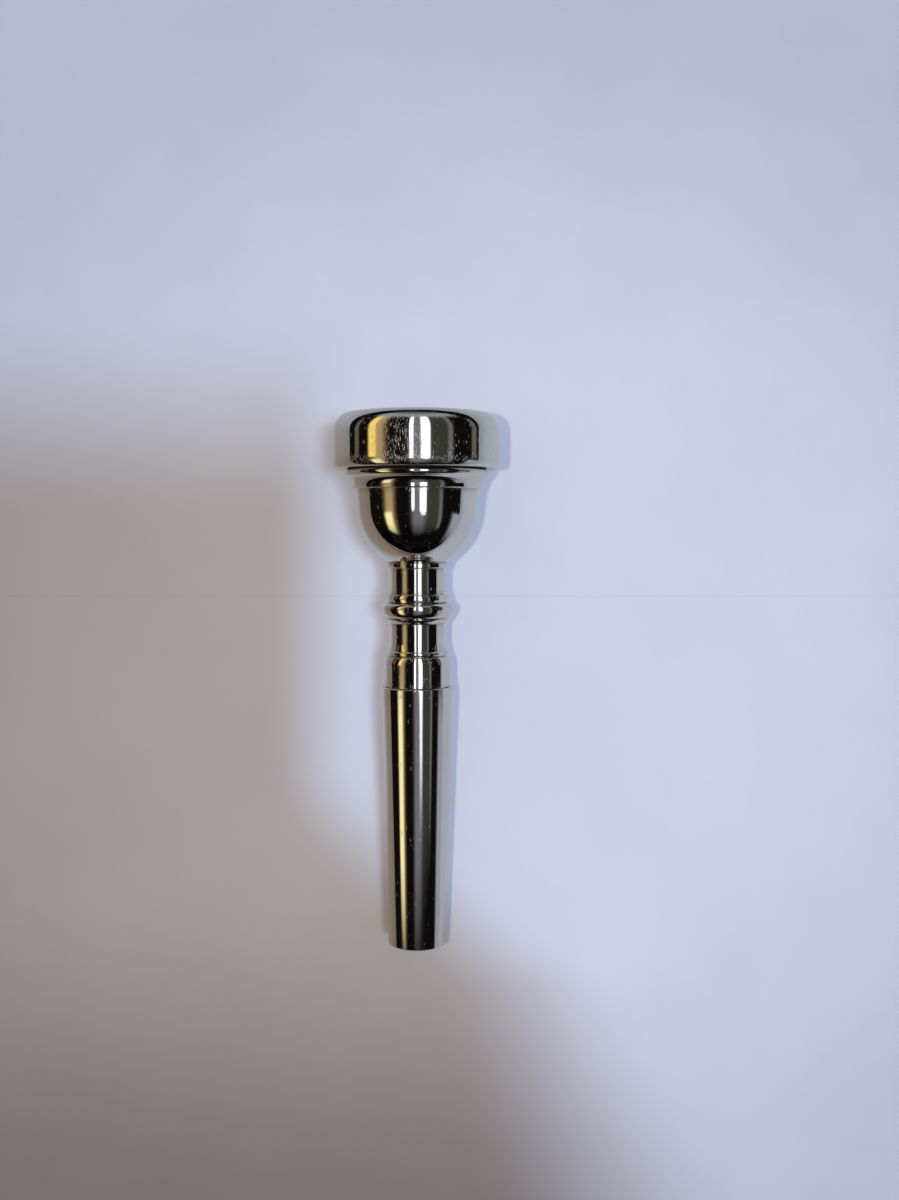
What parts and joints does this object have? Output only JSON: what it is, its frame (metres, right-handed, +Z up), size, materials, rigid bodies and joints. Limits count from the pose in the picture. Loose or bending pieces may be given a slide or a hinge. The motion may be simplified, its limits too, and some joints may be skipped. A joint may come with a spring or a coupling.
{
  "type": "trumpet mouthpiece",
  "caption": "Polished silver-plated trumpet mouthpiece with a rounded rim, bowl cup, beaded backbore and tapered shank; rim, cup, backbore and shank sleeve unscrew or slide apart.",
  "frame": {"origin": "on the axis, in the plane of the shank's open end, where the taper starts", "axes": "+Y along the axis from the shank end to the rim, +Z up when it lies on its side, +X to the right"},
  "size_m": [0.0272, 0.0875, 0.0272],
  "materials": {
    "silver_plate": "polished silver plate over brass, with fine handling scratches",
    "seal_rubber": "satin black nitrile rubber"
  },
  "bodies": {
    "sleeve": {"shank_sleeve": "silver_plate"},
    "backbore": {"backbore": "silver_plate"},
    "backbore_seal": {"backbore_seal_ring": "seal_rubber"},
    "cup": {"cup": "silver_plate"},
    "rim_seal": {"rim_seal_ring": "seal_rubber"},
    "rim": {"rim": "silver_plate"}
  },
  "joints": [
    {"name": "sleeve_pull", "type": "slide", "parent": "sleeve", "child": "backbore", "axis": [0, 1, 0], "range_m": [0, 0.036]},
    {"name": "cup_lift", "type": "slide", "parent": "backbore", "child": "backbore_seal", "axis": [0, 1, 0], "range_m": [0, 0.00605]},
    {"name": "cup_turn", "type": "hinge", "parent": "backbore_seal", "child": "cup", "pos_m": [0, 0.0633, 0], "axis": [0, 1, 0], "range_deg": [0, 2880]},
    {"name": "rim_lift", "type": "slide", "parent": "cup", "child": "rim_seal", "axis": [0, 1, 0], "range_m": [0, 0.0053]},
    {"name": "rim_turn", "type": "hinge", "parent": "rim_seal", "child": "rim", "pos_m": [0, 0.0785, 0], "axis": [0, 1, 0], "range_deg": [0, 2520]}
  ],
  "couplings": [
    {"joint": "cup_lift", "follows": "cup_turn", "m_per_rad": 0.00011937},
    {"joint": "rim_lift", "follows": "rim_turn", "m_per_rad": 0.00011937}
  ]
}
